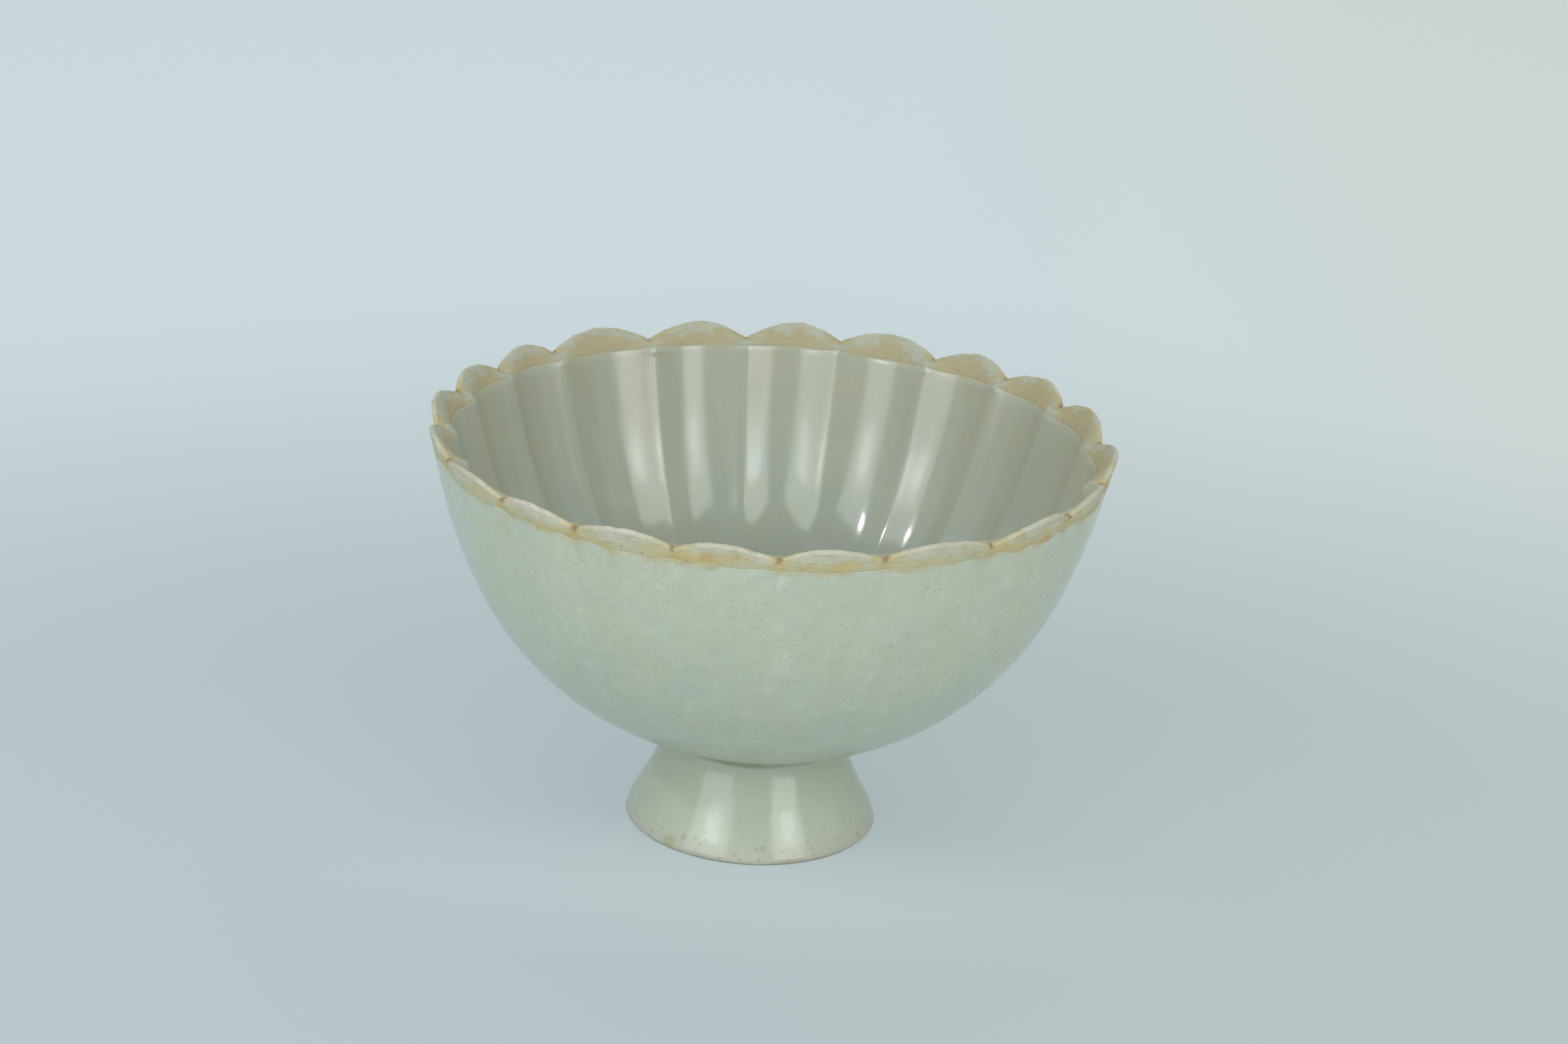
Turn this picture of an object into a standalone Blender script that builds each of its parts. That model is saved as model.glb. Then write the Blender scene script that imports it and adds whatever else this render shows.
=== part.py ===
"""A glazed bowl with a petalled lip on a flared, hollow foot: two clay pieces, slip and two coats."""

import math

import bmesh
import bpy

# Driving dimensions, in metres and degrees. The bowl stands on z = 0 with its axis on Z.
FIRST_CUSP_DEG = -175.5
PETAL_WIDTHS_DEG = (
    *(17.1, 20.2, 16.2, 17.2, 17.0, 17.0, 19.3, 20.2, 17.8, 21.0),
    *(19.3, 16.2, 16.6, 18.7, 17.9, 18.8, 20.5, 15.2, 15.3, 18.5),
)
STEPS_PER_PETAL = 6
ROUND_STEPS = 80  # columns of the pieces that are plain round

LIP_HEIGHT = 0.0980  # top of a petal
CUSP_HEIGHT = 0.0947  # bottom of the notch between two petals
GLAZE_LINE = 0.0930  # the lip is bare clay above this height
CREST_POWER = 1.0  # 1 is an even arch, less is squarer, more is pointed
LIP_INSET = 0.0009  # the crest lies this far inside the outer face
LIP_OUTER_EDGE = (-0.0006, 0.0013)  # where the lip's rounding starts: in from the crest, below it
LIP_INNER_EDGE = (0.0009, 0.0006)

OUTSIDE_LOBE = 0.0010  # how far the outside dips at a cusp, at the lip
OUTSIDE_LOBE_FADE = 0.0300  # height over which those dips die out
FLUTE_DEPTH = 0.0020  # how far the inside stands in at a cusp, at the lip
WELL_RADIUS = 0.0180  # the flutes die out into this smooth well

WALL_AT_LIP = 0.0034  # glaze to glaze, at the middle of a petal
WALL_AT_FOOT = 0.0065
FLOOR_HEIGHT = 0.0273  # middle of the well
GLAZE = 0.0005
SLIP = 0.0010
GAP = 0.0003  # clearance between neighbouring pieces
UNDER_GLAZE = GLAZE + GAP

# Glazed outer face as three cubic curves, each given by four points (radius, height).
FOOT_CURVE = ((0.0296, 0.0014), (0.0272, 0.0075), (0.0229, 0.0117), (0.0215, 0.0198))
NECK_CURVE = ((0.0215, 0.0198), (0.0212, 0.0216), (0.0234, 0.0240), (0.0280, 0.0256))
BOWL_CURVE = ((0.0280, 0.0256), (0.0735, 0.0412), (0.0762, 0.0913), (0.0796, 0.0980))
FOOT_STEPS = 3
NECK_STEPS = 3
BOWL_STEPS = 7
BOWL_EASE = 1.25  # crowds the bowl's rings towards the foot, where it bends most
WELL_STEPS = 2

FOOT_TOP = 0.0210
# Inner face of the hollow foot, from the ring up.
HOLLOW_CURVE = ((0.0240, 0.0000), (0.0215, 0.0070), (0.0172, 0.0100), (0.0170, FOOT_TOP))
HOLLOW_STEPS = 4
RING_EDGE = 0.0293  # outer edge of the flat ring that the bowl stands on
RING_HEIGHT = 0.0005  # the bare ring is widest here

SHARP_EDGE_DEG = 35
HALVINGS = 40  # steps of the search for a radius at a given height
SAME_POINT = 1e-7


def clear_scene():
    for obj in list(bpy.data.objects):
        bpy.data.objects.remove(obj, do_unlink=True)


def point_on(curve, t):
    weights = ((1 - t) ** 3, 3 * t * (1 - t) ** 2, 3 * t * t * (1 - t), t**3)
    return tuple(sum(w * p[k] for w, p in zip(weights, curve)) for k in (0, 1))


def cubic(curve, steps, ease=1.0):
    return [point_on(curve, (i / steps) ** ease) for i in range(steps + 1)]


def radius_at(curve, height):
    """The radius at which a rising curve reaches a height."""
    low, high = 0.0, 1.0
    for _ in range(HALVINGS):
        middle = (low + high) / 2
        if point_on(curve, middle)[1] < height:
            low = middle
        else:
            high = middle
    return point_on(curve, low)[0]


def moved_left(profile, distances):
    """The profile with each point moved square to its run, to the left."""
    found = []
    last = len(profile) - 1
    for i, (radius, height) in enumerate(profile):
        before = profile[max(i - 1, 0)]
        after = profile[min(i + 1, last)]
        run = (after[0] - before[0], after[1] - before[1])
        share = distances[i] / math.hypot(*run)
        found.append((radius - share * run[1], height + share * run[0]))
    return found


def moved_in(profile, distance):
    return moved_left(profile, [distance] * len(profile))


def cut(profile, low, high):
    """The stretch of a rising profile between two heights, with new end points there."""
    found = []
    for first, second in zip(profile, profile[1:]):
        for height in (low, high):
            if first[1] <= height < second[1]:
                share = (height - first[1]) / (second[1] - first[1])
                found.append((first[0] + share * (second[0] - first[0]), height))
        if low < second[1] < high:
            found.append(second)
    return sorted(found, key=lambda point: point[1])


def bowl_face():
    """The bowl's share of the glazed outer face, from the neck up to the lip."""
    return cubic(BOWL_CURVE, BOWL_STEPS, BOWL_EASE)


def outer_face():
    """The glazed outer face, from the foot's ring up to the lip."""
    return cubic(FOOT_CURVE, FOOT_STEPS) + cubic(NECK_CURVE, NECK_STEPS)[1:] + bowl_face()[1:]


def inner_face():
    """The glazed inner face at the middle of a flute, from the lip down to the middle of the well."""
    thinning = (WALL_AT_FOOT - WALL_AT_LIP) / BOWL_STEPS
    thickness = [WALL_AT_FOOT - thinning * i for i in range(BOWL_STEPS + 1)]
    wall = cut(moved_left(bowl_face(), thickness), 0.0, GLAZE_LINE)
    edge_radius, edge_height = wall[0]
    floor = []
    for i in range(WELL_STEPS):
        share = i / WELL_STEPS
        floor.append((edge_radius * share, FLOOR_HEIGHT + (edge_height - FLOOR_HEIGHT) * share**2))
    return (floor + wall)[::-1]


def clay_outside():
    """The clay under the outer coat."""
    return moved_in(outer_face(), UNDER_GLAZE)


def petal_columns():
    """(angle, arch, rise) for each column of points. Arch and rise go from 0 at a cusp to 1 in mid-petal."""
    columns = []
    start = FIRST_CUSP_DEG
    for width in PETAL_WIDTHS_DEG:
        for i in range(STEPS_PER_PETAL):
            share = i / STEPS_PER_PETAL
            arch = 4 * share * (1 - share)
            rise = math.sin(math.pi * share) ** CREST_POWER
            columns.append((math.radians(start + width * share), arch, rise))
        start += width
    return columns


def outside_dip(radius, height):
    """How far the outer face dips at a cusp."""
    return OUTSIDE_LOBE * max(0.0, 1 - (CUSP_HEIGHT - height) / OUTSIDE_LOBE_FADE)


def inside_dip(radius, height):
    """How far the inner face stands in at a cusp."""
    reach = BOWL_CURVE[-1][0] - WALL_AT_LIP - WELL_RADIUS
    return FLUTE_DEPTH * max(0.0, (radius - WELL_RADIUS) / reach)


def lobed_rings(profile, dip):
    """A ring of points (radius, height, angle) for each profile point, or one point for one on the axis."""
    rings = []
    for radius, height in profile:
        if radius == 0.0:
            rings.append([(0.0, height, 0.0)])
            continue
        depth = dip(radius, height)
        rings.append([(radius - depth * (1 - arch), height, angle) for angle, arch, _ in petal_columns()])
    return rings


def crest_ring(inwards, drop):
    """A ring along the lip, which rises on each petal, at a distance in from its crest and below it."""
    ring = []
    for angle, arch, rise in petal_columns():
        top = CUSP_HEIGHT + (LIP_HEIGHT - CUSP_HEIGHT) * rise
        share = (top - GLAZE_LINE) / (LIP_HEIGHT - GLAZE_LINE)
        radius = radius_at(BOWL_CURVE, top) - LIP_INSET - inwards - OUTSIDE_LOBE * (1 - arch)
        ring.append((radius, top - drop * share, angle))
    return ring


def skin(bm, rings):
    """Faces between neighbouring rings."""
    loops = []
    for ring in rings:
        corners = [(r * math.cos(a), r * math.sin(a), z) for r, z, a in ring]
        loops.append([bm.verts.new(corner) for corner in corners])
    for lower, upper in zip(loops, loops[1:]):
        for i in range(max(len(lower), len(upper))):
            corners = [lower[i % len(lower)], lower[(i + 1) % len(lower)]]
            corners += [upper[(i + 1) % len(upper)], upper[i % len(upper)]]
            bm.faces.new(list(dict.fromkeys(corners)))


def material(name, colour, roughness):
    made = bpy.data.materials.new(name)
    made.use_nodes = True
    shader = made.node_tree.nodes["Principled BSDF"]
    shader.inputs["Base Color"].default_value = (*colour, 1.0)
    shader.inputs["Roughness"].default_value = roughness
    shader.inputs["Metallic"].default_value = 0.0
    return made


def add_object(name, bm, finish):
    bmesh.ops.remove_doubles(bm, verts=bm.verts, dist=SAME_POINT)
    bmesh.ops.recalc_face_normals(bm, faces=bm.faces)
    mesh = bpy.data.meshes.new(name)
    bm.to_mesh(mesh)
    bm.free()
    mesh.materials.append(finish)
    mesh.shade_smooth()
    mesh.set_sharp_from_angle(angle=math.radians(SHARP_EDGE_DEG))
    bpy.context.scene.collection.objects.link(bpy.data.objects.new(name, mesh))


def lobed(name, rings, finish):
    bm = bmesh.new()
    skin(bm, rings)
    add_object(name, bm, finish)


def turned(name, profile, finish):
    """A closed profile (radius, height) spun about Z."""
    bm = bmesh.new()
    verts = [bm.verts.new((radius, 0.0, height)) for radius, height in profile]
    edges = [bm.edges.new(pair) for pair in zip(verts, verts[1:] + verts[:1])]
    about = {"axis": (0, 0, 1), "angle": math.tau, "steps": ROUND_STEPS, "use_merge": True}
    bmesh.ops.spin(bm, geom=verts + edges, **about)
    add_object(name, bm, finish)


def bowl_body(finish):
    """The clay bowl: flat seat, outer wall, bare crested lip and fluted inside."""
    seat = FOOT_TOP + SLIP + 2 * GAP
    outside = [(0.0, seat), *cut(clay_outside(), seat, GLAZE_LINE)]
    inside = moved_in(inner_face(), UNDER_GLAZE)
    inside[-1] = (0.0, inside[-1][1])
    lip = [crest_ring(*LIP_OUTER_EDGE), crest_ring(0.0, 0.0), crest_ring(*LIP_INNER_EDGE)]
    rings = lobed_rings(outside, outside_dip) + lip + lobed_rings(inside, inside_dip)
    lobed("bowl_body", rings, finish)


def pedestal_foot(finish):
    """The clay foot: a flared tube on a flat bare ring."""
    ring = [(RING_EDGE, 0.0), (FOOT_CURVE[0][0], RING_HEIGHT)]
    outside = cut(clay_outside(), clay_outside()[0][1], FOOT_TOP)
    hollow = cubic(HOLLOW_CURVE, HOLLOW_STEPS)[::-1]
    turned("pedestal_foot", ring + outside + hollow, finish)


def luting_slip(finish):
    """The ring of slip between the foot's top and the bowl's seat."""
    low = FOOT_TOP + GAP
    high = low + SLIP
    inner = HOLLOW_CURVE[-1][0]
    turned("luting_slip", [*cut(clay_outside(), low, high), (inner, high), (inner, low)], finish)


def glaze_inside(finish):
    """The coat that lines the bowl up to the bare lip."""
    face = inner_face()
    back = moved_in(face, GLAZE)
    back[-1] = (0.0, back[-1][1])
    lobed("glaze_inside", lobed_rings(face[::-1] + back, inside_dip), finish)


def glaze_outside(finish):
    """The coat over foot and bowl, from the bare ring to the bare lip."""
    face = cut(outer_face(), 0.0, GLAZE_LINE)
    face.insert(0, FOOT_CURVE[0])
    back = moved_in(face, GLAZE)
    lobed("glaze_outside", lobed_rings(face + back[::-1] + face[:1], outside_dip), finish)


def main():
    clear_scene()
    bowl_body(material("bare_clay", (0.62, 0.55, 0.40), 0.75))
    pedestal_foot(material("foot_clay", (0.58, 0.50, 0.38), 0.80))
    luting_slip(material("slip", (0.60, 0.54, 0.42), 0.85))
    glaze_inside(material("inner_glaze", (0.50, 0.54, 0.46), 0.22))
    glaze_outside(material("outer_glaze", (0.50, 0.55, 0.47), 0.25))


main()
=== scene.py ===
import math
import random
from bisect import bisect
from collections import namedtuple

import bmesh
import bpy
from mathutils import Matrix, Vector, noise


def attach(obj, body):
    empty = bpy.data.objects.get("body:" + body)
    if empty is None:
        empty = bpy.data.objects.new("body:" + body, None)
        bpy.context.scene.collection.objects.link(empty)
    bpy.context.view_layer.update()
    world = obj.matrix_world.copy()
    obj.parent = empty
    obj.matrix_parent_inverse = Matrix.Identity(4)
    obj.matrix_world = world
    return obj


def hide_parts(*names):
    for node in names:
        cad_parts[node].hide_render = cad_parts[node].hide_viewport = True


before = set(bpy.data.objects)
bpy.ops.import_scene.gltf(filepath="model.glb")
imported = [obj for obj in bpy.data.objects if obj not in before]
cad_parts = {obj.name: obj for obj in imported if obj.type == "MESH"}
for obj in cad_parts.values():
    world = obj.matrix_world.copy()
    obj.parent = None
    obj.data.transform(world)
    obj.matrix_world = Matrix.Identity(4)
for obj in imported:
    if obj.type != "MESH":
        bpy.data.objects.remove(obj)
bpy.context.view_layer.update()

print("frame loaded,", len(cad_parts), "solids")

# the form that all pieces share, in metres, standing on z = 0
bowlForm = {
    "firstCusp": -175.5,  # degrees
    # each petal's width in degrees, its first cusp and its crest in mm, squareness, lean and stain
    "petals": (
        (17.1, 94.6, 97.9, 1.00, 0.00, 0.32), (20.2, 94.7, 97.4, 1.10, -0.06, 0.15),
        (16.2, 94.7, 97.2, 0.75, 0.05, 0.65), (17.2, 94.4, 97.6, 0.75, -0.06, 0.07),
        (17.0, 94.7, 97.6, 1.05, 0.05, 0.70), (17.0, 94.6, 97.6, 1.10, 0.05, 0.66),
        (19.3, 94.7, 97.5, 0.75, 0.01, 0.06), (20.2, 94.5, 97.8, 1.05, -0.10, 0.51),
        (17.8, 94.8, 97.4, 1.10, -0.05, 0.04), (21.0, 94.6, 98.0, 1.00, 0.00, 0.85),
        (19.3, 94.7, 98.2, 0.90, -0.03, 1.00), (16.2, 94.9, 98.5, 0.70, 0.05, 1.00),
        (16.6, 95.4, 98.5, 0.92, 0.05, 0.80), (18.7, 94.9, 98.5, 0.76, 0.00, 0.35),
        (17.9, 95.2, 98.5, 0.95, 0.04, 0.42), (18.8, 94.5, 98.2, 0.98, 0.04, 0.42),
        (20.5, 94.7, 98.2, 0.84, 0.02, 0.30), (15.2, 94.8, 97.9, 1.00, 0.06, 0.40),
        (15.3, 94.7, 98.0, 0.75, -0.02, 0.58), (18.5, 94.8, 98.0, 0.90, 0.00, 0.50),
    ),
    "columns": 26,  # across one petal
    "crowding": 0.4,  # 0 spaces the columns evenly, more crowds them at the cusps
    "lipRadius": 77.5,  # mm, for lengths along the lip
    "cuspHeight": 0.0947,  # on average
    "outerLine": 0.0922,  # the lip is bare above these two lines
    "outerWaver": 0.00050,
    "outerRagged": 0.00065,
    "innerLine": 0.0934,
    "innerWaver": 0.00030,
    "lineUnderCusp": 0.0006,
    "lineLift": 1.6,  # how narrowly the inner line rises at a cusp
    "outsideLobe": 0.0010,
    "lobeFade": 0.0300,
    "fluteDepth": 0.0020,
    "arrisRound": 0.085,  # share of a petal
    "wellRadius": 0.0180,
    "wallAtLip": 0.0034,
    "wallAtFoot": 0.0065,
    "wallTaper": 0.8,
    "floorHeight": 0.0273,
    "coat": 0.00045,
    "fused": 0.00005,  # the coats reach this far into the clay
    "seat": 0.0226,
    "outOfRound": 0.0010,
    "outOfRoundFrom": (0.026, 0.030),  # height where it sets in, outside and inside
    "outOfRoundOver": 0.03,
}
footCurve = ((0.0295, 0.0012), (0.0283, 0.0058), (0.0242, 0.0097), (0.0215, 0.0198))
neckCurve = ((0.0215, 0.0198), (0.0212, 0.0216), (0.0234, 0.0240), (0.0280, 0.0256))
bowlCurve = ((0.0280, 0.0256), (0.0735, 0.0412), (0.0762, 0.0913), (0.0796, 0.0980))
hollowCurve = ((0.0240, 0.0000), (0.0215, 0.0070), (0.0172, 0.0100), (0.0170, 0.0210))


def onCurve(curve, t):
    weights = ((1 - t) ** 3, 3 * t * (1 - t) ** 2, 3 * t * t * (1 - t), t ** 3)
    return tuple(sum(w * p[k] for w, p in zip(weights, curve)) for k in (0, 1))


def curvePoints(curve, steps):
    return [onCurve(curve, i / steps) for i in range(steps + 1)]


# reads a value between the rows of a table, and runs on straight past its ends
def tableReader(rows):
    keys = [row[0] for row in rows]

    def read(at):
        i = min(max(bisect(keys, at), 1), len(keys) - 1)
        (x0, y0), (x1, y1) = rows[i - 1], rows[i]
        return y0 + (y1 - y0) * (at - x0) / (x1 - x0)

    return read


# a few waves round the bowl, for lines drawn by hand
def handWave(seed, slowest, count=5):
    dice = random.Random(seed)
    waves = []
    for i in range(count):
        turns = slowest + 3 * i + dice.randint(0, 2)
        waves.append((turns, dice.uniform(0, math.tau), 1 / (1 + i)))
    most = sum(size for turns, start, size in waves)
    return lambda angle: sum(size * math.sin(turns * angle + start) for turns, start, size in waves) / most


def innerWallPoints(steps):
    wall = []
    atFoot, atLip = bowlForm["wallAtFoot"], bowlForm["wallAtLip"]
    for i in range(steps + 1):
        t = i / steps
        here, ahead = Vector(onCurve(bowlCurve, t)), Vector(onCurve(bowlCurve, t + 0.002))
        run = (ahead - here).normalized()
        thick = atFoot + (atLip - atFoot) * t ** bowlForm["wallTaper"]
        wall.append((here.x - thick * run.y, here.y + thick * run.x))
    return wall


outerFace = curvePoints(footCurve, 40) + curvePoints(neckCurve, 40)[1:] + curvePoints(bowlCurve, 160)[1:]
outerRadius = tableReader([(z, r) for r, z in outerFace])
innerWall = innerWallPoints(160)
innerRadius = tableReader([(z, r) for r, z in innerWall])
wellEdge = innerWall[0]
roundness = handWave(3, 2, 3)

Column = namedtuple("Column", "angle lobe flute top stain cuspGap outerLine innerLine")


# one entry for each line of points round the bowl, closer together at the cusps
def petalColumns():
    outerWave, innerWave, ragged = handWave(33, 9), handWave(21, 7), handWave(57, 52, 8)
    petals, steps, blunt = bowlForm["petals"], bowlForm["columns"], bowlForm["arrisRound"]
    outerLine, innerLine = bowlForm["outerLine"], bowlForm["innerLine"]
    crowding = bowlForm["crowding"]
    columns = []
    start = bowlForm["firstCusp"]
    for k, (width, firstCusp, crest, squareness, lean, stain) in enumerate(petals):
        nextCusp = petals[(k + 1) % len(petals)][1]
        for i in range(steps):
            even = i / steps
            share = (1 - crowding) * even + crowding * (0.5 - 0.5 * math.cos(math.pi * even))
            near = math.hypot(min(share, 1 - share), blunt)
            cusp = firstCusp + (nextCusp - firstCusp) * share
            rise = math.sin(math.pi * (share + lean * math.sin(math.pi * share))) ** squareness
            angle = math.radians(start + width * share)
            lobe = 4 * share * (1 - share)
            lifted = (cusp / 1000 - bowlForm["lineUnderCusp"] - innerLine) * (1 - lobe) ** bowlForm["lineLift"]
            outerWaver = bowlForm["outerWaver"] * outerWave(angle)
            columns.append(Column(
                angle=angle,
                lobe=lobe,
                flute=1 - (1 - 2 * min(near, 0.5)) ** 2 / (1 - 2 * blunt) ** 2,
                top=(cusp + (crest - cusp) * rise) / 1000,
                stain=stain,
                cuspGap=min(share, 1 - share) * math.radians(width) * bowlForm["lipRadius"],
                outerLine=outerLine + outerWaver + bowlForm["outerRagged"] * ragged(angle),
                innerLine=innerLine + lifted + bowlForm["innerWaver"] * innerWave(angle),
            ))
        start += width
    return columns


columns = petalColumns()


# how much wider than a true circle the bowl is under one column
def outOfRound(column, z, setsIn):
    share = min(1.0, max(0.0, (z - setsIn) / bowlForm["outOfRoundOver"]))
    return 1 + bowlForm["outOfRound"] * share * roundness(column.angle)


# outer face under one column, dipped at the cusps near the lip
def outsideAt(column, z):
    fade = max(0.0, 1 - (bowlForm["cuspHeight"] - z) / bowlForm["lobeFade"])
    rounded = outOfRound(column, z, bowlForm["outOfRoundFrom"][0])
    return outerRadius(z) * rounded - bowlForm["outsideLobe"] * min(fade, 1.3) * (1 - column.lobe)


# inner face under one column, standing in at the arrises
def insideAt(column, z):
    radius = innerRadius(z)
    reach = bowlCurve[-1][0] - bowlForm["wallAtLip"] - bowlForm["wellRadius"]
    depth = bowlForm["fluteDepth"] * max(0.0, radius - bowlForm["wellRadius"]) / reach
    return radius * outOfRound(column, z, bowlForm["outOfRoundFrom"][1]) - depth * (1 - column.flute)


def wellHeight(radius):
    return bowlForm["floorHeight"] + (wellEdge[1] - bowlForm["floorHeight"]) * (radius / wellEdge[0]) ** 2


# moves a run of points (radius, height) square to itself, to its left
def movedLeft(path, distance):
    moved = []
    for i, (r, z) in enumerate(path):
        before, after = path[max(i - 1, 0)], path[min(i + 1, len(path) - 1)]
        run = (after[0] - before[0], after[1] - before[1])
        share = distance / math.hypot(*run)
        moved.append((r - share * run[1], z + share * run[0]))
    return moved


# rounds a run of control points of any size, with steps between each pair
def softened(points, steps):
    found = []
    last = len(points) - 1
    for i in range(last):
        four = [points[min(max(i + k, 0), last)] for k in (-1, 0, 1, 2)]
        for j in range(steps):
            t = j / steps
            weights = (
                0.5 * (-t + 2 * t * t - t ** 3),
                0.5 * (2 - 5 * t * t + 3 * t ** 3),
                0.5 * (t + 4 * t * t - 3 * t ** 3),
                0.5 * (t ** 3 - t * t),
            )
            found.append(tuple(sum(w * p[k] for w, p in zip(weights, four)) for k in range(len(points[0]))))
    return found + [tuple(points[-1])]


# skins one cross-section for each angle; its points are (radius, height, marks ...)
def skinSections(name, sections, angles, finish, marks=(), ring=False):
    bm = bmesh.new()
    count = len(sections)
    turned = [(math.cos(angle), math.sin(angle)) for angle in angles]
    rows, values = [], []
    for row in zip(*sections):
        if all(point[0] == 0.0 for point in row):
            rows.append([bm.verts.new((0.0, 0.0, row[0][1]))])
            values.append(row[0][2:])
            continue
        rows.append([bm.verts.new((p[0] * x, p[0] * y, p[1])) for p, (x, y) in zip(row, turned)])
        values.extend(point[2:] for point in row)
    pairs = list(zip(rows, rows[1:]))
    if ring:
        pairs.append((rows[-1], rows[0]))
    for low, high in pairs:
        for i in range(count):
            j = (i + 1) % count
            corners = [low[i % len(low)], low[j % len(low)], high[j % len(high)], high[i % len(high)]]
            bm.faces.new(list(dict.fromkeys(corners)))
    bmesh.ops.recalc_face_normals(bm, faces=bm.faces)
    mesh = bpy.data.meshes.new(name)
    bm.to_mesh(mesh)
    bm.free()
    for k, mark in enumerate(marks):
        layer = mesh.attributes.new(mark, "FLOAT", "POINT")
        layer.data.foreach_set("value", [value[k] for value in values])
    mesh.shade_smooth()
    mesh.materials.append(finish)
    piece = bpy.data.objects.new(name, mesh)
    bpy.context.scene.collection.objects.link(piece)
    return piece


def tint(red, green, blue):
    linear = []
    for level in (red, green, blue):
        c = level / 255
        linear.append(c / 12.92 if c <= 0.04045 else ((c + 0.055) / 1.055) ** 2.4)
    return (*linear, 1.0)


# a finish under construction: its colours, its nodes and short ways to add them
class Finish:
    def __init__(self, name, look):
        self.look = look
        self.material = bpy.data.materials.new(name)
        self.material.use_nodes = True
        self.tree = self.material.node_tree
        self.shader = self.tree.nodes["Principled BSDF"]
        self.where = self.add("TexCoord").outputs["Object"]

    def feed(self, socket, value):
        if isinstance(value, bpy.types.NodeSocket):
            self.tree.links.new(value, socket)
        else:
            socket.default_value = value

    def add(self, kind, settings=None, **inputs):
        node = self.tree.nodes.new("ShaderNode" + kind)
        for key, value in (settings or {}).items():
            setattr(node, key, value)
        for key, value in inputs.items():
            self.feed(node.inputs[key], value)
        return node

    def maths(self, kind, first, *others):
        for other in others:
            node = self.add("Math", {"operation": kind})
            self.feed(node.inputs[0], first)
            self.feed(node.inputs[1], other)
            first = node.outputs[0]
        return first

    def times(self, *values):
        return self.maths("MULTIPLY", *values)

    def plus(self, *values):
        return self.maths("ADD", *values)

    def larger(self, *values):
        return self.maths("MAXIMUM", *values)

    def between(self, value, low, high, first=0.0, last=1.0):
        node = self.add("MapRange", {"interpolation_type": "SMOOTHSTEP"}, Value=value)
        for key, level in (("From Min", low), ("From Max", high), ("To Min", first), ("To Max", last)):
            node.inputs[key].default_value = level
        return node.outputs["Result"]

    # noise with patches of one size in metres
    def cloud(self, size, detail=3.0, rough=0.55, shift=0.0, where=None):
        node = self.add("TexNoise", {"noise_dimensions": "4D"}, Vector=where or self.where, W=shift)
        for key, level in (("Scale", 1 / size), ("Detail", detail), ("Roughness", rough)):
            node.inputs[key].default_value = level
        return node.outputs["Fac"]

    # the same, drawn out: patches to the metre along each axis
    def streaks(self, x, y, z, **cloud):
        drawn = self.add("Mapping", {"vector_type": "POINT"}, Vector=self.where, Scale=(x, y, z))
        return self.cloud(1.0, where=drawn.outputs["Vector"], **cloud)

    # a cloud that shows where its noise passes from low to high
    def patches(self, size, low, high, first=0.0, last=1.0, **cloud):
        return self.between(self.cloud(size, **cloud), low, high, first, last)

    # dots in a share of the cells; spacing and size in metres
    def dots(self, spacing, size, share):
        cells = self.add("TexVoronoi", {"feature": "F1"}, Vector=self.where, Scale=1 / spacing, Randomness=1.0)
        spot = self.between(cells.outputs["Distance"], 0.35 * size / spacing, 0.6 * size / spacing, 1.0, 0.0)
        pick = self.add("SeparateColor", None, Color=cells.outputs["Color"]).outputs["Red"]
        return self.times(spot, self.maths("LESS_THAN", pick, share))

    def mark(self, name):
        return self.add("Attribute", {"attribute_name": name}).outputs["Fac"]

    def shade(self, name):
        return tint(*self.look[name])

    def over(self, under, upper, amount):
        node = self.add("Mix", {"data_type": "RGBA", "blend_type": "MIX"})
        self.feed(node.inputs[0], amount)
        self.feed(node.inputs[6], under)
        self.feed(node.inputs[7], upper)
        return node.outputs[2]

    def paint(self, under, name, amount):
        return self.over(under, self.shade(name), amount)

    # relief in layers of (height, depth in metres), laid one on the other
    def surface(self, colour, roughness, relief):
        normal = None
        for height, depth in relief:
            bump = self.add("Bump", None, Height=height, Distance=depth, Strength=1.0)
            if normal is not None:
                self.feed(bump.inputs["Normal"], normal)
            normal = bump.outputs["Normal"]
        self.feed(self.shader.inputs["Base Color"], colour)
        self.feed(self.shader.inputs["Roughness"], roughness)
        self.feed(self.shader.inputs["Normal"], normal)
        return self.material


outerGlazeLook = {
    "base": (164, 171, 154),
    "cool": (160, 169, 159),
    "warm": (167, 170, 149),
    "rosy": (174, 167, 153),
    "speck": (129, 132, 114),
    "pale": (181, 188, 174),
    "mottleAndFootShade": (154, 161, 144),
    "smudge": (158, 151, 118),
    "footLine": (172, 163, 152),
    "creaseShade": (112, 118, 94),
    "grit": (138, 131, 115),
    "spot": (146, 148, 112),
    "spotPlace": (-0.0182, -0.0226, 0.0018),
    # spacing and size in metres, share of the places taken, strength
    "specks": ((0.0021, 0.00055, 0.62, 0.46), (0.0034, 0.00095, 0.34, 0.30), (0.0110, 0.00095, 0.16, 0.42)),
    "roughness": (0.13, 0.24),
    "footRoughness": 0.88,  # share of it on the foot, which took a glossier coat
    "ior": 1.58,
}


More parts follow.
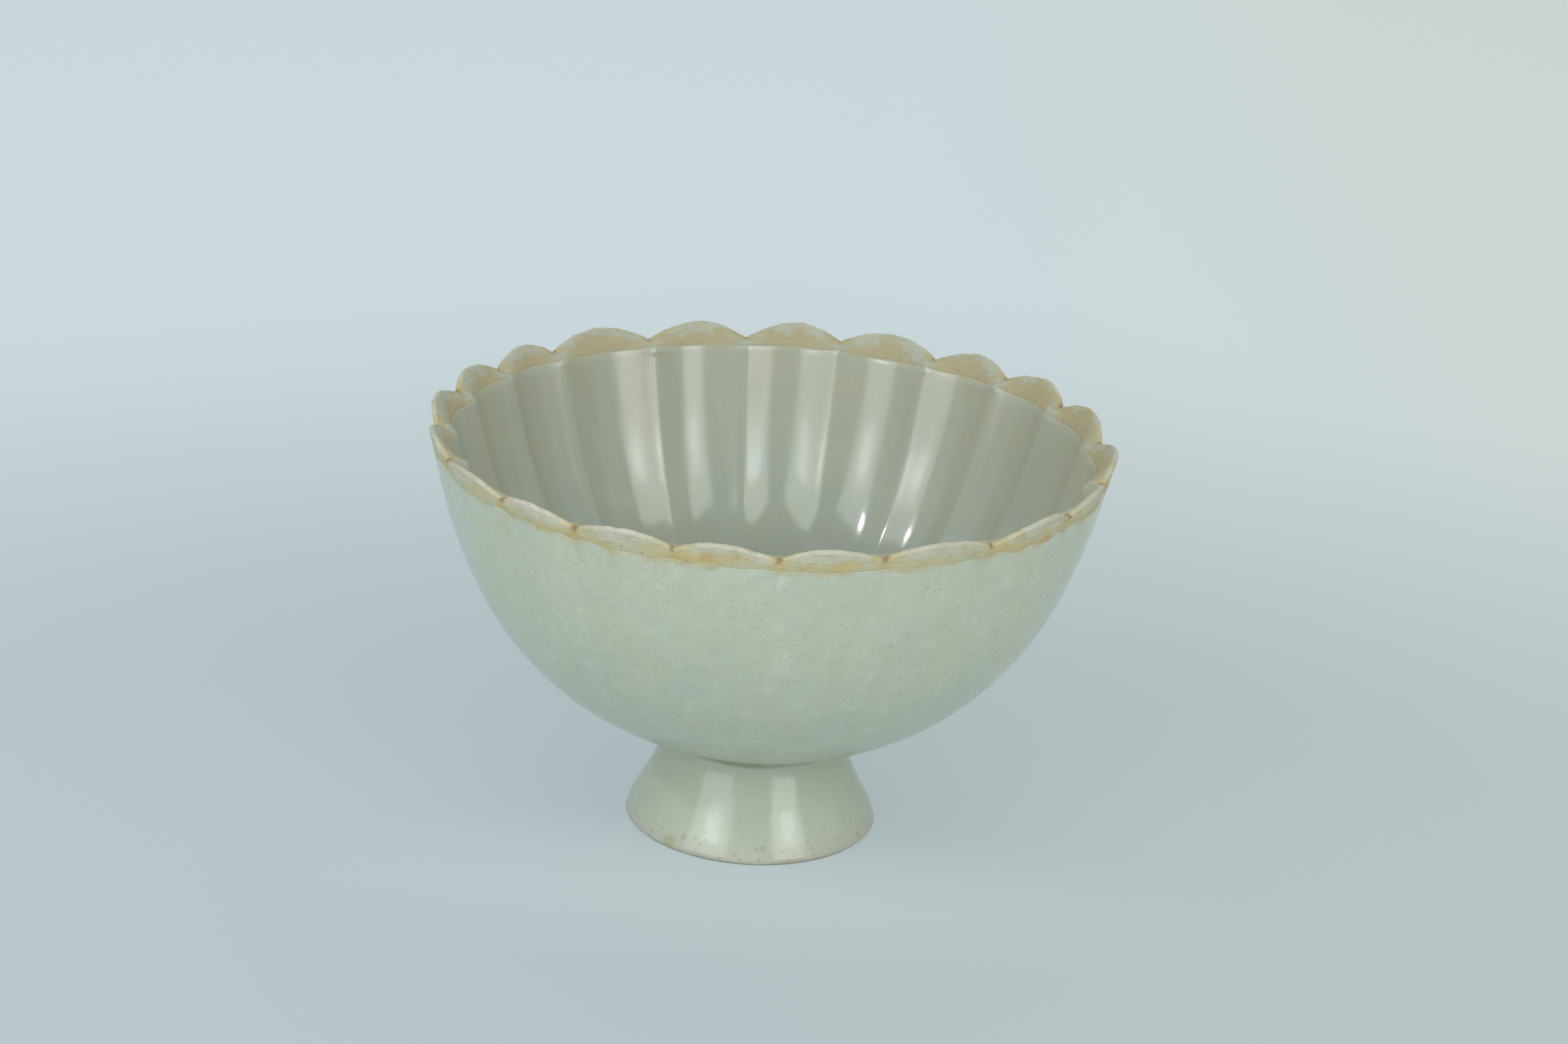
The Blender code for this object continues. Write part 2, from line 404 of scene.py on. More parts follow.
def outerGlazeFinish():
    look = outerGlazeLook
    glaze = Finish("outerGlaze", look)
    edgeGap, footGap, cuspGap = (glaze.mark(name) for name in ("edgeGap", "footGap", "cuspGap"))
    colour = glaze.paint(glaze.shade("base"), "cool", glaze.patches(0.024, 0.46, 0.70, 0, 0.6))
    colour = glaze.paint(colour, "warm", glaze.patches(0.015, 0.48, 0.70, 0, 0.65, shift=4.0))
    colour = glaze.paint(colour, "rosy", glaze.patches(0.010, 0.58, 0.74, 0, 0.40, shift=9.0))
    runs = glaze.streaks(190, 190, 20, shift=2.0)  # of the glaze, down the wall
    colour = glaze.paint(colour, "pale", glaze.between(runs, 0.52, 0.72, 0, 0.22))
    mottle = glaze.cloud(0.0042, 4, 0.6, shift=13.0)
    colour = glaze.paint(colour, "mottleAndFootShade", glaze.between(mottle, 0.52, 0.70, 0, 0.38))
    colour = glaze.paint(colour, "pale", glaze.between(mottle, 0.46, 0.30, 0, 0.34))
    grain = glaze.cloud(0.0016, 4, 0.65, shift=6.0)
    colour = glaze.paint(colour, "speck", glaze.between(grain, 0.54, 0.76, 0, 0.26))
    colour = glaze.paint(colour, "pale", glaze.between(grain, 0.44, 0.26, 0, 0.32))
    dashes = glaze.streaks(800, 800, 2600, detail=2, shift=19.0)  # drawn out by the wheel
    colour = glaze.paint(colour, "speck", glaze.between(dashes, 0.56, 0.72, 0, 0.34))
    for spacing, size, share, strength in look["specks"]:
        colour = glaze.paint(colour, "speck", glaze.times(glaze.dots(spacing, size, share), strength))
    underCusp = glaze.times(
        glaze.between(cuspGap, 0.5, 4.5, 1, 0),
        glaze.between(edgeGap, 1.0, 13.0, 1, 0),
        glaze.patches(0.014, 0.42, 0.62, detail=2, shift=12.0),
        0.25,
    )
    colour = glaze.paint(colour, "smudge", underCusp)
    spill = glaze.patches(0.0035, 0.3, 0.7, -0.9, 0.9, detail=4, rough=0.6, shift=5.0)
    ochreEdge = glaze.times(
        glaze.between(glaze.plus(edgeGap, spill), 0.0, 1.7, 0.95, 0),
        glaze.patches(0.015, 0.38, 0.52, 0.05, 0.9, detail=2, shift=17.0),
    )
    colour = glaze.paint(colour, "smudge", ochreEdge)
    footEdge = glaze.plus(footGap, glaze.cloud(0.006, 2, shift=8.0))
    colour = glaze.paint(colour, "footLine", glaze.between(footEdge, 0.55, 5.5, 0.7, 0))
    # painted shade: the whole foot is darkened, for the shadow under the bowl
    colour = glaze.paint(colour, "mottleAndFootShade", glaze.between(footGap, 18, 23, 0.60, 0))
    gritReach = glaze.plus(footGap, glaze.between(mottle, 0.3, 0.7, -3, 3))
    grit = glaze.times(
        glaze.larger(glaze.dots(0.0017, 0.0010, 0.75), glaze.dots(0.0031, 0.0018, 0.5)),
        glaze.between(gritReach, 2.0, 8.0, 0.42, 0),
    )
    colour = glaze.paint(colour, "grit", grit)
    away = glaze.add("VectorMath", {"operation": "DISTANCE"})
    glaze.feed(away.inputs[0], glaze.where)
    glaze.feed(away.inputs[1], look["spotPlace"])
    away = glaze.plus(away.outputs["Value"], glaze.between(mottle, 0.3, 0.7, -0.001, 0.001))
    colour = glaze.paint(colour, "spot", glaze.between(away, 0.0008, 0.0022, 0.75, 0))  # one, on the foot
    creaseShade = glaze.times(
        glaze.between(footGap, 20.1, 21.0),
        glaze.between(footGap, 23.0, 25.0, 1, 0),
        glaze.patches(0.018, 0.35, 0.60, 0.25, 0.62, detail=2, shift=15.0),
    )
    colour = glaze.paint(colour, "creaseShade", creaseShade)  # painted shade in the crease where bowl and foot meet, under the belly
    satin = glaze.patches(0.008, 0.3, 0.7, *look["roughness"], shift=3.0)
    roughness = glaze.times(satin, glaze.between(footGap, 15, 24, look["footRoughness"], 1.0))
    glaze.shader.inputs["IOR"].default_value = look["ior"]
    ripple, orangePeel = glaze.cloud(0.0060, 2, shift=1.0), glaze.cloud(0.0011, 2, shift=7.0)
    return glaze.surface(colour, roughness, [(ripple, 0.00004), (orangePeel, 0.000006)])


innerGlazeLook = {
    "base": (149, 156, 140),
    "cool": (147, 156, 143),
    "warm": (153, 157, 135),
    "speck": (112, 108, 90),
    "pale": (168, 175, 162),
    "darkerLow": (116, 123, 110),
    "stained": (150, 146, 119),
    # spacing and size in metres, share of the places taken, strength
    "specks": ((0.0026, 0.00045, 0.22, 0.5), (0.0150, 0.00110, 0.16, 0.6)),
    "roughness": (0.15, 0.24),
    "lowRoughness": 0.6,  # share of it low in the bowl
    "ior": 1.68,  # a thick, rich coat
}


def innerGlazeFinish():
    look = innerGlazeLook
    glaze = Finish("innerGlaze", look)
    edgeGap, cuspGap = glaze.mark("edgeGap"), glaze.mark("cuspGap")
    colour = glaze.paint(glaze.shade("base"), "cool", glaze.patches(0.026, 0.42, 0.66, 0, 0.7, detail=2))
    colour = glaze.paint(colour, "warm", glaze.patches(0.020, 0.46, 0.68, 0, 0.7, shift=4.0))
    runs = glaze.streaks(170, 170, 24, shift=2.0)
    colour = glaze.paint(colour, "pale", glaze.between(runs, 0.52, 0.74, 0, 0.22))
    grain = glaze.cloud(0.0016, 4, 0.65, shift=6.0)
    colour = glaze.paint(colour, "speck", glaze.between(grain, 0.58, 0.80, 0, 0.20))
    for spacing, size, share, strength in look["specks"]:
        colour = glaze.paint(colour, "speck", glaze.times(glaze.dots(spacing, size, share), strength))
    colour = glaze.paint(colour, "pale", glaze.between(cuspGap, 0.2, 1.8, 0.10, 0))  # thin on the arrises
    # darker towards the bottom of the bowl
    colour = glaze.paint(colour, "darkerLow", glaze.between(edgeGap, 34, 74, 0, 0.85))
    edge = glaze.plus(edgeGap, glaze.cloud(0.004, 3, shift=5.0))
    stained = glaze.times(glaze.between(edge, 0.45, 1.6, 0.55, 0), glaze.between(cuspGap, 1.2, 4.2))
    stained = glaze.larger(stained, glaze.between(edgeGap, 2, 36, 0.28, 0))
    colour = glaze.paint(colour, "stained", stained)
    satin = glaze.patches(0.008, 0.3, 0.7, *look["roughness"], shift=3.0)
    roughness = glaze.times(satin, glaze.between(edgeGap, 24, 44, 1.0, look["lowRoughness"]))
    glaze.shader.inputs["IOR"].default_value = look["ior"]
    ripple, orangePeel = glaze.cloud(0.0070, 2, shift=1.0), glaze.cloud(0.0012, 2, shift=7.0)
    return glaze.surface(colour, roughness, [(ripple, 0.00005), (orangePeel, 0.000006)])


lipClayLook = {
    "pale": (162, 165, 142),
    "paleInside": (150, 155, 139),
    "ochre": (169, 158, 112),
    "ochreInside": (147, 141, 108),
    "rust": (166, 144, 92),
    "brownEdge": (134, 123, 92),
    "worn": (176, 173, 157),
    "darkMarksAndNotchShade": (104, 92, 68),
    "glazed": (139, 144, 122),
    "pits": (0.0026, 0.00055, 0.30, 0.60),  # spacing, size, share of the places taken, strength
    "roughness": (0.50, 0.78),
    "glazedRoughness": 0.4,  # share of it where the glaze climbs the arrises
}


def lipClayFinish():
    look = lipClayLook
    clay = Finish("lipClay", look)
    band, side, cusp, petal = (clay.mark(name) for name in ("bareBand", "lipSide", "cuspGap", "petalStain"))
    broad = clay.cloud(0.0065, 4, 0.6)
    blots = clay.cloud(0.0026, 4, 0.6, shift=11.0)
    fine = clay.cloud(0.0009, 4, 0.65, shift=3.0)
    strokes = clay.streaks(230, 230, 1500, rough=0.6, shift=21.0)  # of the trimming tool
    # ochre stain low on the lip, further up on the inside and on some petals
    shifted = clay.plus(
        band,
        clay.between(broad, 0.25, 0.75, -0.34, 0.34),
        clay.between(blots, 0.25, 0.75, -0.16, 0.16),
        clay.between(strokes, 0.3, 0.7, -0.2, 0.2),
        clay.between(side, 0.0, 1.0, -0.06, 0.0),
        clay.between(petal, 0.6, 1.0, 0.0, -0.32),
    )
    stretch = clay.patches(0.015, 0.38, 0.52, 0.15, 1, detail=2, shift=17.0)  # stained here, clean there
    stretch = clay.larger(stretch, clay.between(side, 0.6, 0.1))
    low = clay.times(clay.between(shifted, 0.30, 0.74, 0.95, 0), stretch)
    corner = clay.plus(cusp, clay.between(broad, 0.25, 0.75, -2.4, 2.4))
    corner = clay.between(corner, 1.0, 6.0, 0.85, 0)
    stain = clay.times(clay.larger(low, corner), clay.between(petal, 0.0, 0.45, 0.6, 1.0))
    pale = clay.paint(clay.shade("paleInside"), "pale", side)
    ochre = clay.paint(clay.shade("ochreInside"), "ochre", side)
    colour = clay.over(pale, ochre, stain)
    rust = clay.times(
        stain,
        clay.patches(0.0042, 0.48, 0.64, 0, 0.8, shift=8.0),
        clay.between(side, 0.1, 0.8, 0.35, 1),
    )
    colour = clay.paint(colour, "rust", rust)
    edge = clay.times(
        clay.between(side, 0.95, 0.60),
        clay.between(side, 0.0, 0.25),
        clay.between(broad, 0.35, 0.65, 0.30, 0.0),
    )
    colour = clay.paint(colour, "brownEdge", edge)
    colour = clay.paint(colour, "brownEdge", clay.between(strokes, 0.55, 0.72, 0, 0.42))
    scratches = clay.streaks(420, 420, 4200, detail=2, rough=0.6, shift=25.0)
    colour = clay.paint(colour, "darkMarksAndNotchShade", clay.between(scratches, 0.60, 0.74, 0, 0.40))
    worn = clay.times(
        clay.between(band, 0.20, 0.65),
        clay.between(blots, 0.43, 0.55),
        clay.between(side, 0.4, 0.9),
        clay.between(stretch, 0.2, 1.0, 1.0, 0.55),
        clay.between(corner, 0.1, 0.6, 0.9, 0.2),
    )
    colour = clay.paint(colour, "worn", worn)
    colour = clay.paint(colour, "brownEdge", clay.between(fine, 0.56, 0.76, 0, 0.35))
    # dirt in the cusps, and the notch at each cusp darkened: partly stain, partly painted shade of its inner
    # wall
    near = clay.plus(cusp, clay.between(fine, 0.3, 0.7, -0.35, 0.35))
    outside = clay.between(side, 0.15, 0.60)
    colour = clay.paint(colour, "rust", clay.times(clay.between(near, 0.3, 1.9, 0.4, 0), outside))
    darkMarksAndNotchShade = clay.times(clay.between(near, 0.15, 1.0, 0.75, 0), clay.between(band, 0.45, 0.85), outside)
    colour = clay.paint(colour, "darkMarksAndNotchShade", darkMarksAndNotchShade)
    *pits, strength = look["pits"]
    colour = clay.paint(colour, "darkMarksAndNotchShade", clay.times(clay.dots(*pits), strength))
    # the inner glaze climbs over the arrises
    climb = clay.plus(band, clay.between(blots, 0.3, 0.7, -0.12, 0.12))
    glazed = clay.times(
        clay.between(climb, 0.70, 0.46),
        clay.between(cusp, 1.2, 4.2, 1, 0),
        clay.between(side, 0.30, 0.05),
    )
    colour = clay.paint(colour, "glazed", glazed)
    matt = clay.between(broad, 0.3, 0.7, *look["roughness"])
    roughness = clay.times(matt, clay.between(glazed, 0, 1, 1.0, look["glazedRoughness"]))
    dust = clay.cloud(0.0004, 2, shift=5.0)
    relief = [(blots, 0.00022), (strokes, 0.00022), (fine, 0.00018), (dust, 0.00003)]
    return clay.surface(colour, roughness, relief)


footClayLook = {
    "base": (168, 160, 146),
    "dark": (147, 138, 121),
    "pale": (188, 181, 166),
    "ringLine": (134, 127, 114),
    "grit": (92, 80, 62),
    "gritDots": (0.0035, 0.0006, 0.2, 0.7),  # spacing, size, share of the places taken, strength
    "roughness": (0.65, 0.88),
}


def footClayFinish():
    look = footClayLook
    clay = Finish("footClay", look)
    blotches = clay.patches(0.012, 0.45, 0.70, 0, 0.7, detail=4, rough=0.6)
    colour = clay.paint(clay.shade("base"), "dark", blotches)
    flecks = clay.patches(0.004, 0.52, 0.72, 0, 0.6, detail=4, rough=0.65, shift=4.0)
    colour = clay.paint(colour, "pale", flecks)
    turns = clay.streaks(20, 20, 900, shift=2.0)  # lines of the turning tool
    colour = clay.paint(colour, "dark", clay.between(turns, 0.5, 0.7, 0, 0.4))
    height = clay.add("SeparateXYZ", None, Vector=clay.where).outputs["Z"]
    colour = clay.paint(colour, "ringLine", clay.between(height, 0.0002, 0.0012, 0.75, 0))
    *grit, strength = look["gritDots"]
    colour = clay.paint(colour, "grit", clay.times(clay.dots(*grit), strength))
    roughness = clay.patches(0.005, 0.3, 0.7, *look["roughness"], shift=6.0)
    grain = clay.cloud(0.0007, 3, shift=9.0)
    return clay.surface(colour, roughness, [(turns, 0.00008), (grain, 0.00006)])


slipLook = {
    "base": (186, 172, 144),
    "dark": (160, 144, 114),
    "roughness": (0.7, 0.9),
}


def slipFinish():
    look = slipLook
    slip = Finish("driedSlip", look)
    colour = slip.paint(slip.shade("base"), "dark", slip.patches(0.005, 0.42, 0.68, detail=4, rough=0.6))
    roughness = slip.patches(0.003, 0.3, 0.7, *look["roughness"], shift=2.0)
    return slip.surface(colour, roughness, [(slip.cloud(0.0018, 4, 0.6, shift=5.0), 0.00025)])


print("finishes ready to mix")

clayBowl = {
    "lipInset": 0.0010,  # crest, in from the outer face
    "lipTall": 0.0055,  # lip above the glaze line for which the next three hold; a lower one has less
    "shoulder": 0.0017,  # below the crest
    "outerRound": (0.00035, 0.0006),  # in from the outer face, below the crest
    "innerRound": (0.0009, 0.0005),  # in from the crest, below it
    "bareStep": 0.00014,  # the bare clay starts this far under the glaze
    "shoulderStep": 0.00010,
    "tuck": (0.001, 0.003),  # the clay dips under the coats between these, below their edges
    "underRows": 12,  # rows under the coats
    "wellRows": 5,
    "chips": 0.00020,  # hand-trimmed lip
}


def clayBowlSection(column):
    coat, seat, inset = bowlForm["coat"], bowlForm["seat"], clayBowl["lipInset"]
    step, (tuck, deepTuck) = clayBowl["bareStep"], clayBowl["tuck"]
    rows, wellRows = clayBowl["underRows"], clayBowl["wellRows"]
    low, inLow = column.outerLine, column.innerLine
    spot = Vector((math.cos(column.angle), math.sin(column.angle), 0.0))
    chips = noise.noise(20 * spot) + 0.7 * noise.noise(52 * spot) + 0.6 * noise.noise(130 * spot)
    top = column.top + clayBowl["chips"] * chips
    tall = (top - low) / clayBowl["lipTall"]  # low lip at the cusps, tall lip on the crests
    outer, inner = outsideAt(column, top), insideAt(column, inLow)
    section = [(0.0, seat, 0, 1), (outsideAt(column, seat) - coat, seat, 0, 1)]
    for i in range(1, rows):
        z = seat + (low - deepTuck - seat) * (i / rows) ** 1.3
        section.append((outsideAt(column, z) - coat, z, 0, 1))
    shoulder = top - clayBowl["shoulder"] * tall
    outerIn, outerDrop = clayBowl["outerRound"]
    innerIn, innerDrop = clayBowl["innerRound"]
    innerEdge = (outer - inset - innerIn, top - innerDrop * tall)
    # radius, height, share of the bare band, 1 outside to 0 inside
    lip = [
        (outsideAt(column, low - deepTuck) - coat, low - deepTuck, -0.4, 1),
        (outsideAt(column, low - tuck) - coat, low - tuck, -0.15, 1),
        (outsideAt(column, low) - step, low, 0.0, 1),
        (outsideAt(column, shoulder) - clayBowl["shoulderStep"], shoulder, 0.66, 1),
        (outer - outerIn, top - outerDrop * tall, 0.88, 1),
        (outer - inset, top, 1.0, 0.7),
        (*innerEdge, 0.88, 0.2),
        (0.5 * (innerEdge[0] + inner), 0.5 * (innerEdge[1] + inLow), 0.45, 0),
        (inner + step, inLow, 0.0, 0),
        (insideAt(column, inLow - tuck) + coat, inLow - tuck, -0.15, 0),
        (insideAt(column, inLow - deepTuck) + coat, inLow - deepTuck, -0.4, 0),
    ]
    section += softened(lip, 3)
    path = []
    for i in range(1, 2 * rows + 1):
        z = inLow - deepTuck - (inLow - deepTuck - wellEdge[1]) * (i / (2 * rows)) ** 0.8
        path.append((insideAt(column, z), z))
    for i in range(1, wellRows + 1):
        radius = wellEdge[0] * (1 - i / wellRows)
        path.append((radius, wellHeight(radius)))
    under = movedLeft(path, coat)
    under[-1] = (0.0, under[-1][1])
    section += [(r, z, -1, 0) for r, z in under]
    return [(*point, column.cuspGap, column.stain) for point in section]


def makeClayBowl():
    sections = [clayBowlSection(column) for column in columns]
    marks = ("bareBand", "lipSide", "cuspGap", "petalStain")
    angles = [column.angle for column in columns]
    return skinSections("clayBowl", sections, angles, lipClayFinish(), marks)


innerCoat = {
    "rows": 54,
    "wellRows": 10,
    "backStep": 4,  # rows of the face to one of the hidden back
    "edgeDrop": 0.0004,  # from the glaze line to the last row
    "edge": ((0.00011, 0.00005), (0.00022, 0.00008)),  # rounding: in from the face, below the line
    "bead": 0.00022,  # thick edge of the glaze, where it gathered
    "beadFrom": 0.1,  # more leaves longer gaps between the beads
    "beadAtCusp": 0.7,  # share of it on top of the arrises
    "beadSpread": 1.4,  # mm to either side of an arris
    "beadBelow": 0.0011,  # the glaze line
    "beadTall": 0.0007,
    "thin": 0.00016,  # the edge sinks to the clay elsewhere
    "thinOver": 0.0018,
}
beadWave = handWave(61, 15, 6)


def innerCoatSection(column):
    coat, deep = bowlForm["coat"], bowlForm["coat"] + bowlForm["fused"]
    line = column.innerLine
    end = line - innerCoat["edgeDrop"]
    atCusp = innerCoat["beadAtCusp"] * math.exp(-(column.cuspGap / innerCoat["beadSpread"]) ** 2)
    gathered = max(0.0, beadWave(column.angle) - innerCoat["beadFrom"]) + atCusp
    wellRows, rows, backStep = innerCoat["wellRows"], innerCoat["rows"], innerCoat["backStep"]
    path = [(wellEdge[0] * i / wellRows, wellHeight(wellEdge[0] * i / wellRows)) for i in range(wellRows)]
    for i in range(rows + 1):
        z = wellEdge[1] + (end - wellEdge[1]) * (1 - (1 - i / rows) ** 1.25)
        hump = math.exp(-((line - innerCoat["beadBelow"] - z) / innerCoat["beadTall"]) ** 2)
        sunk = innerCoat["thin"] * max(0.0, 1 - (line - z) / innerCoat["thinOver"]) ** 2
        path.append((insideAt(column, z) - innerCoat["bead"] * gathered * hump + sunk, z))
    gaps = [0.0]  # mm down from the edge
    for before, after in zip(path[::-1], path[-2::-1]):
        gaps.append(gaps[-1] + 1000 * math.dist(before, after))
    face = [(r, z, gap) for (r, z), gap in zip(path, gaps[::-1])]
    inner = insideAt(column, line)
    face += [(inner + inwards, line - drop, 0) for inwards, drop in innerCoat["edge"]]
    face.append((inner + coat, end, 0))
    back = movedLeft(path[::-1], deep)[backStep::backStep]
    back[-1] = (0.0, path[0][1] - deep)
    section = face + [(r, z, 40) for r, z in back]
    return [(*point, column.cuspGap) for point in section]


def makeInnerCoat():
    sections = [innerCoatSection(column) for column in columns]
    angles = [column.angle for column in columns]
    return skinSections("innerCoat", sections, angles, innerGlazeFinish(), ("edgeGap", "cuspGap"))


outerCoat = {
    "footRows": 18,
    "neckRows": 12,
    "bowlRows": 52,
    "backStep": 5,  # rows of the face to one of the hidden back
    "edgeDrop": 0.0002,  # from the glaze line to the last row
    "edge": ((0.00012, 0.00005), (0.00022, 0.00008)),  # rounding: in from the face, below the line
    "backDrop": 0.0004,
    "thin": 0.00010,  # the edge sinks to the clay
    "thinOver": 0.0018,
    "footDrop": 0.0005,  # the coat's lower edge, below the foot's curve
    "footWave": 0.00020,
    "footEdge": ((0.00022, 0.00012), (0.00006, 0.00006)),
    "footBack": 0.0003,
}
footLine = handWave(5, 4)


def outerCoatSection(column):
    coat, deep = bowlForm["coat"], bowlForm["coat"] + bowlForm["fused"]
    rows, backStep = outerCoat["bowlRows"], outerCoat["backStep"]
    line = column.outerLine
    low = footCurve[0][1] - outerCoat["footDrop"] + outerCoat["footWave"] * footLine(column.angle)
    path = []
    for curve, curveRows, start in (
        (footCurve, outerCoat["footRows"], low),
        (neckCurve, outerCoat["neckRows"], neckCurve[0][1]),
    ):
        curveLow, curveTop = curve[0][1], curve[-1][1]
        for i in range(curveRows):
            height = onCurve(curve, i / curveRows)[1]
            z = start + (height - curveLow) * (curveTop - start) / (curveTop - curveLow)
            path.append((outsideAt(column, z), z))
    for i in range(rows + 1):
        z = bowlCurve[0][1] + (line - outerCoat["edgeDrop"] - bowlCurve[0][1]) * (1 - (1 - i / rows) ** 1.3)
        sunk = outerCoat["thin"] * max(0.0, 1 - (line - z) / outerCoat["thinOver"]) ** 2
        path.append((outsideAt(column, z) - sunk, z))
    # radius, height, mm below the lip's line, mm above the foot's
    section = [(r, z, 1000 * (line - z), 1000 * (z - low)) for r, z in path]
    top, bottom = outsideAt(column, line), outsideAt(column, low)
    section += [(top - inwards, line - drop, 0, 90) for inwards, drop in outerCoat["edge"]]
    section.append((top - coat, line - outerCoat["backDrop"], 0, 90))
    section += [(r - deep, z, 40, 90) for r, z in path[-backStep:backStep - 1:-backStep]]
    section.append((bottom - coat, low + outerCoat["footBack"], 90, 0))
    section += [(bottom - inwards, low - drop, 90, 0) for inwards, drop in outerCoat["footEdge"]]
    return [(*point, column.cuspGap) for point in section]


def makeOuterCoat():
    sections = [outerCoatSection(column) for column in columns]
    angles = [column.angle for column in columns]
    marks = ("edgeGap", "footGap", "cuspGap")
    return skinSections("outerCoat", sections, angles, outerGlazeFinish(), marks, ring=True)


clayFoot = {
    "columns": 160,
    "wallRows": 14,
    "hollowRows": 36,
    "top": 0.0210,
    "ringEdge": 0.0292,
    "ringInside": 0.0240,
    "ringWave": 0.00015,
    "throwingRings": 0.00022,  # height of the ridges left by the fingers
    "ringTurns": 2300,  # radians of ridge to the metre
}


def clayFootSection(angle):
    coat = bowlForm["coat"]
    top, rows, hollowRows = clayFoot["top"], clayFoot["wallRows"], clayFoot["hollowRows"]
    ringInside, ringEdge = clayFoot["ringInside"], clayFoot["ringEdge"]
    low = footCurve[0][1]
    outside = [(outerRadius(z) - coat, z) for z in (low + (top - low) * i / rows for i in range(1, rows + 1))]
    ring = [
        (ringInside + 0.0004, 0.00035),
        (ringInside + 0.0012, 0.0),
        (ringEdge - 0.0006, 0.0),
        (ringEdge, 0.00018),
        (footCurve[0][0] + clayFoot["ringWave"] * footLine(angle), 0.0006),
        (outerRadius(low) - 0.00015, low + 0.0001),
        (outerRadius(low + 0.0008) - coat, low + 0.0008),
    ]
    hollow = []
    for i in range(hollowRows):
        r, z = onCurve(hollowCurve, 1 - i / (hollowRows + 1))
        ridge = clayFoot["throwingRings"] * math.sin(z * clayFoot["ringTurns"] + angle)
        hollow.append((r + ridge * min(1.0, (top - z) / 0.003) * min(1.0, z / 0.004), z))
    return hollow + [(r, max(z, 0.0)) for r, z in softened(ring, 3)] + outside


def makeClayFoot():
    angles = [math.tau * i / clayFoot["columns"] for i in range(clayFoot["columns"])]
    sections = [clayFootSection(angle) for angle in angles]
    return skinSections("clayFoot", sections, angles, footClayFinish(), ring=True)


slipRing = {
    "columns": 160,
    "low": 0.02095,
    "high": 0.02265,
    "play": 0.0002,  # short of the outer coat
    "squeezed": 0.0009,  # how far it oozes into the hollow
}
slipWave = handWave(14, 5)


def slipRingSection(angle):
    low, high, play = slipRing["low"], slipRing["high"], slipRing["play"]
    middle = (low + high) / 2
    inner = hollowCurve[-1][0]
    outer = outerRadius(middle) - bowlForm["coat"] - play
    ooze = slipRing["squeezed"] * (0.75 + 0.4 * slipWave(angle))
    bulge = [
        (inner + 0.0005, high),
        (inner - 0.4 * ooze, high + 0.0002),
        (inner - ooze, middle),
        (inner - 0.5 * ooze, low - 0.0003),
        (inner + 0.0002, low - 0.0001),
        (inner + 0.0006, low),
    ]
    return softened(bulge, 3) + [(outer - play, low), (outer, middle), (outer - play, high)]


def makeSlipRing():
    angles = [math.tau * i / slipRing["columns"] for i in range(slipRing["columns"])]
    sections = [slipRingSection(angle) for angle in angles]
    return skinSections("slipRing", sections, angles, slipFinish(), ring=True)


pieces = (
    (makeClayBowl, "bowl_body", "bare_clay"),
    (makeClayFoot, "pedestal_foot", "foot_clay"),
    (makeSlipRing, "luting_slip", "slip"),
    (makeInnerCoat, "glaze_inside", "inner_glaze"),
    (makeOuterCoat, "glaze_outside", "outer_glaze"),
)
for make, node, slot in pieces:
    piece = make()
    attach(piece, "root")
    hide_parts(node)
    print("made", piece.name, len(piece.data.polygons), "faces")

studio = {
    "floor": (192, 205, 208),
    # what camera and reflections see of the floor, mixed by floorLift with its lit colour
    "floorSeenLeft": (174, 189, 194),
    "floorSeenRight": (176, 187, 188),
    "paintedLightBeforeFoot": (190, 205, 205),
    "floorSeenBack": (201, 215, 219),
    "floorSeenBackRight": (203, 212, 211),
    "floorLift": 0.74,
    "floorSize": 6.0,
    "floorRoughness": 0.85,
    "floorGloss": 0.2,
    "world": (192, 206, 211),
    "fillFront": 1.03,
    "fillBack": 0.54,
    "fillFrom": (0.14, -0.955, 0.26),  # where the fill is strongest
    "cool": (0.965, 1.0, 1.035),
    "clear": (0.97, 1.0, 1.03),
    "icy": (0.88, 1.0, 1.10),
    "plain": (1.0, 1.0, 1.0),
    "warm": (1.02, 1.0, 0.955),
    "aim": (0.0, 0.0, 0.06),
    "panels": (
        # name, degrees right of the camera, elevation, distance, wide, tall, watts, colour
        ("softboxLeft", -39, 27.5, 1.60, 1.08, 0.40, 2.95, "cool"),
        ("softboxLeftLow", -39, 10, 1.60, 1.08, 0.58, 3.3, "cool"),
        ("softboxLeftTop", -39, 42, 1.60, 1.08, 0.42, 2.4, "cool"),
        ("softboxLeftHeart", -38, 28, 1.55, 0.38, 0.36, 1.10, "clear"),
        ("softboxRight", 40, 27.5, 1.60, 0.84, 0.40, 2.6, "plain"),
        ("softboxRightLow", 38, 10, 1.60, 0.78, 0.58, 3.2, "warm"),
        ("softboxRightTop", 40.5, 42, 1.60, 0.88, 0.42, 2.3, "warm"),
        ("softboxRightHeart", 41, 28, 1.55, 0.36, 0.36, 0.94, "icy"),
        ("sideLeft", -84, 25, 1.60, 0.90, 0.90, 0.8, "cool"),
        ("backdropLamp", 180, 50, 1.90, 1.60, 1.00, 7.0, "warm"),
        ("sideRight", 84, 25, 1.60, 0.90, 0.90, 0.60, "warm"),
        ("smallLamp", -67, 42.5, 1.20, 0.09, 0.05, 1.4, "cool"),
    ),
}


